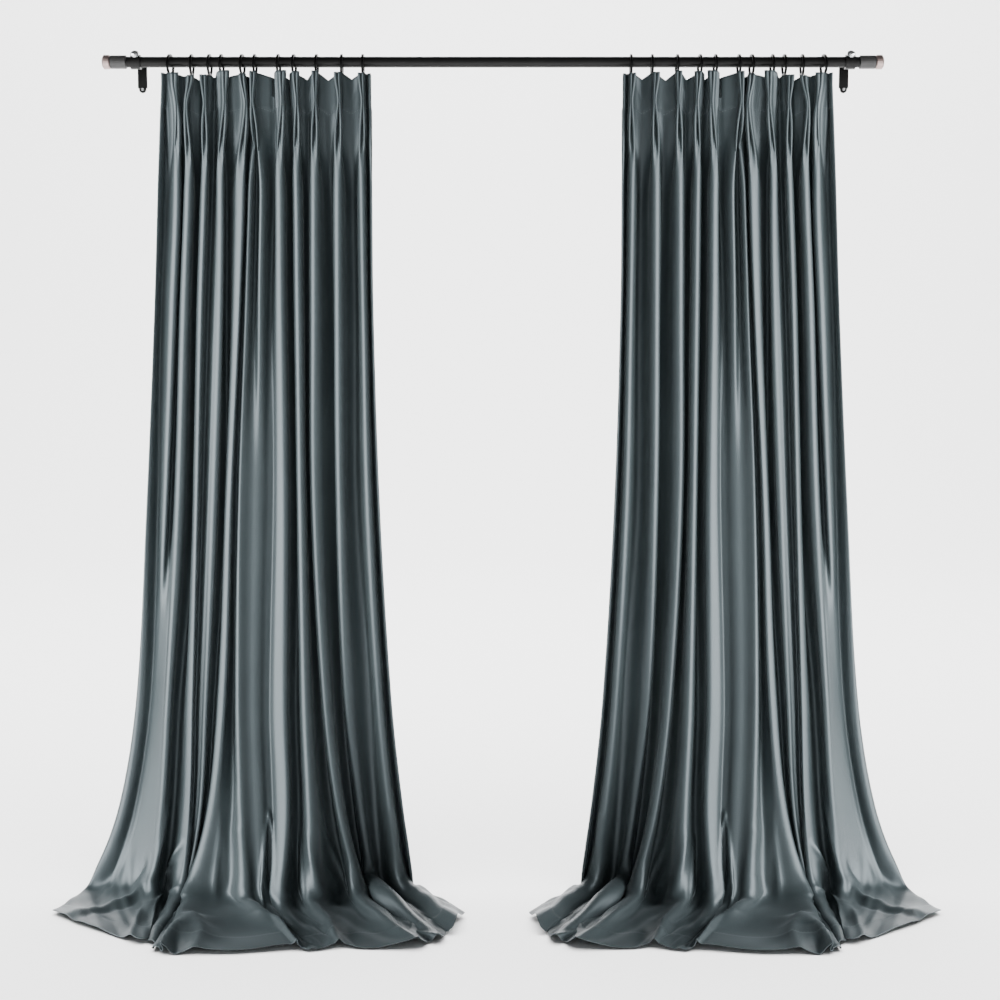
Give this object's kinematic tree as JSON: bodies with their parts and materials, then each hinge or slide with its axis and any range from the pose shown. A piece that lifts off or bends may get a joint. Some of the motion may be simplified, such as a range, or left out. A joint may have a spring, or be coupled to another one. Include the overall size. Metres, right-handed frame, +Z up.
{
  "type": "pair of velvet drapes on a curtain rod",
  "caption": "Pair of floor-pooling velvet drapes with pinch-pleated headings, hung by rings from a wall-mounted metal rod with brackets and capped ends.",
  "frame": {"origin": "on the floor, under the middle of the bounding box", "axes": "X along the rod, +Y towards the wall, Z up"},
  "size_m": [2.216, 0.607, 2.1495],
  "materials": {
    "velvet": "short-pile velvet, slate grey",
    "black_metal": "satin black",
    "bronze": "brushed bronze",
    "steel": "polished"
  },
  "bodies": {
    "root": {"left_drape": "velvet", "right_drape": "velvet", "rod": "black_metal", "left_ring_01": "black_metal", "left_hook_01": "steel", "left_ring_02": "black_metal", "left_hook_02": "steel", "left_ring_03": "black_metal", "left_hook_03": "steel", "left_ring_04": "black_metal", "left_hook_04": "steel", "left_ring_05": "black_metal", "left_hook_05": "steel", "left_ring_06": "black_metal", "left_hook_06": "steel", "left_ring_07": "black_metal", "left_hook_07": "steel", "left_ring_08": "black_metal", "left_hook_08": "steel", "left_ring_09": "black_metal", "left_hook_09": "steel", "left_ring_10": "black_metal", "left_hook_10": "steel", "left_ring_11": "black_metal", "left_hook_11": "steel", "left_finial_collar": "black_metal", "left_finial_cap": "bronze", "left_bracket": "black_metal", "left_knob": "steel", "right_ring_01": "black_metal", "right_hook_01": "steel", "right_ring_02": "black_metal", "right_hook_02": "steel", "right_ring_03": "black_metal", "right_hook_03": "steel", "right_ring_04": "black_metal", "right_hook_04": "steel", "right_ring_05": "black_metal", "right_hook_05": "steel", "right_ring_06": "black_metal", "right_hook_06": "steel", "right_ring_07": "black_metal", "right_hook_07": "steel", "right_ring_08": "black_metal", "right_hook_08": "steel", "right_ring_09": "black_metal", "right_hook_09": "steel", "right_ring_10": "black_metal", "right_hook_10": "steel", "right_ring_11": "black_metal", "right_hook_11": "steel", "right_finial_collar": "black_metal", "right_finial_cap": "bronze", "right_bracket": "black_metal", "right_knob": "steel"}
  },
  "joints": []
}
